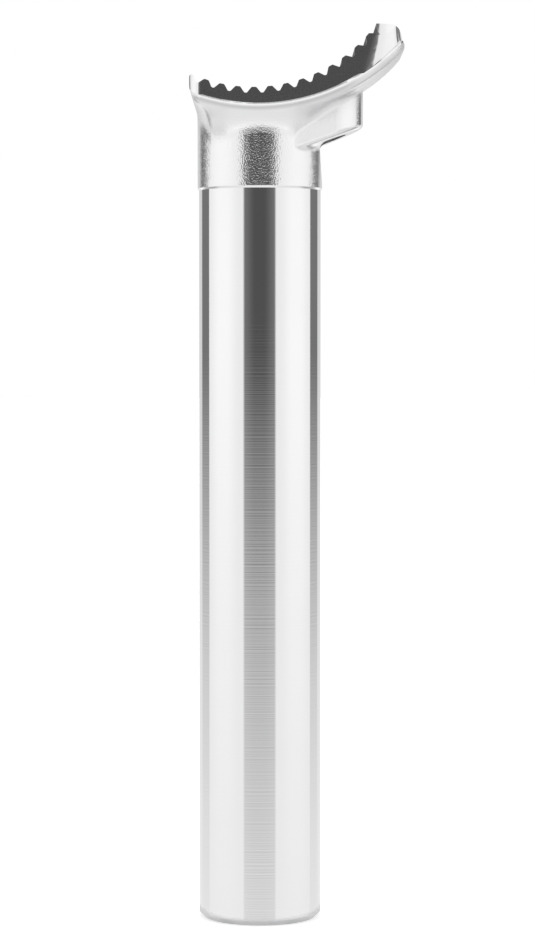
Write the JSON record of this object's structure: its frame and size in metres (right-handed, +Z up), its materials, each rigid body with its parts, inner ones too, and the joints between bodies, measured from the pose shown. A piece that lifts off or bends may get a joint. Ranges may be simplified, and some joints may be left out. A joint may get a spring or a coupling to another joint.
{
  "type": "bicycle seatpost",
  "caption": "One-piece aluminium bicycle seatpost: a turned hollow tube under a forged head with a toothed cradle and one slanted threaded hole.",
  "frame": {"origin": "on the tube's axis at its foot", "axes": "+Z up the tube, +X towards the rear of the bicycle, under the raised end of the cradle, +Y across the bicycle"},
  "size_m": [0.0443, 0.0296, 0.1856],
  "materials": {
    "polished_aluminium": "polished: turned on the tube, satin on the forged head"
  },
  "bodies": {
    "root": {"seatpost": "polished_aluminium"}
  },
  "joints": []
}
